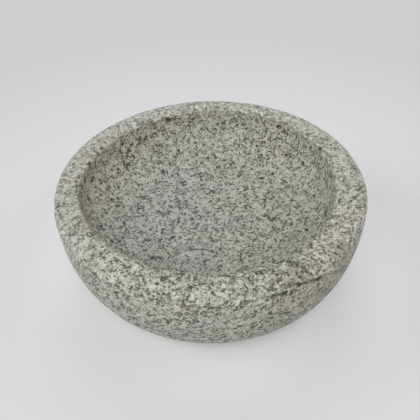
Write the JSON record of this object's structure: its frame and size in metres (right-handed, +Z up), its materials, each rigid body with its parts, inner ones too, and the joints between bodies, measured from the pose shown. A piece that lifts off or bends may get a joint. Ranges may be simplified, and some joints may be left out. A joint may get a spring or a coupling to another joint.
{
  "type": "molcajete",
  "caption": "Wide shallow mortar bowl carved from one block of grey speckled granite, with a thick rounded lip and a flat base.",
  "frame": {"origin": "centre of the flat base, where the bowl rests", "axes": "+Z up along the bowl's axis; the bowl is round, so +X and +Y are alike, and the front of the object is -Y"},
  "size_m": [0.22, 0.22, 0.077],
  "materials": {
    "granite": "matte, finely pecked, salt-and-pepper grain"
  },
  "bodies": {
    "root": {"bowl": "granite"}
  },
  "joints": []
}
